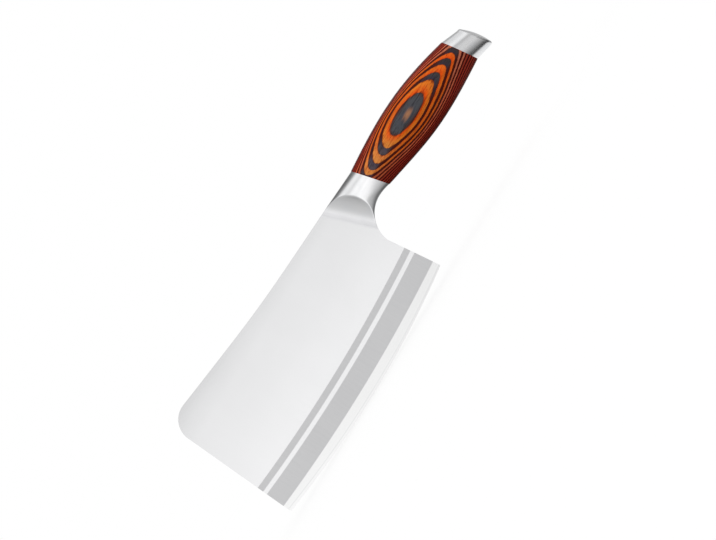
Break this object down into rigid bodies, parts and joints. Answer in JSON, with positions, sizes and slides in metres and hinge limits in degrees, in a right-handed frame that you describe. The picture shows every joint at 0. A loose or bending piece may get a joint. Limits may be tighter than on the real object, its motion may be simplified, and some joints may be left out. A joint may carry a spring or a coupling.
{
  "type": "chinese cleaver",
  "caption": "Rectangular chopping knife with a ground blade, a scooped steel bolster, an oval laminated wood grip and a steel end cap.",
  "frame": {"origin": "middle of the knife's length and thickness, at the lowest point of the cutting edge", "axes": "+X along the knife to the butt of the grip, +Y out of the right face of the blade, +Z from the edge up to the spine"},
  "size_m": [0.303, 0.0242, 0.0939],
  "materials": {
    "blade_steel": "satin, with two bands of coarser grind above the edge",
    "bolster_steel": "satin polish",
    "cap_steel": "satin polish",
    "rod_steel": "as rolled",
    "epoxy": "set resin",
    "slate_veneer": "dyed and sealed",
    "orange_veneer": "dyed and sealed",
    "tan_veneer": "dyed and sealed",
    "red_veneer": "dyed and sealed"
  },
  "bodies": {
    "root": {"blade": "blade_steel", "bolster": "bolster_steel", "tang_rod": "rod_steel", "tang_bedding": "epoxy", "slate_veneers": "slate_veneer", "orange_veneers": "orange_veneer", "tan_veneers": "tan_veneer", "red_veneers": "red_veneer", "end_cap": "cap_steel"}
  },
  "joints": []
}
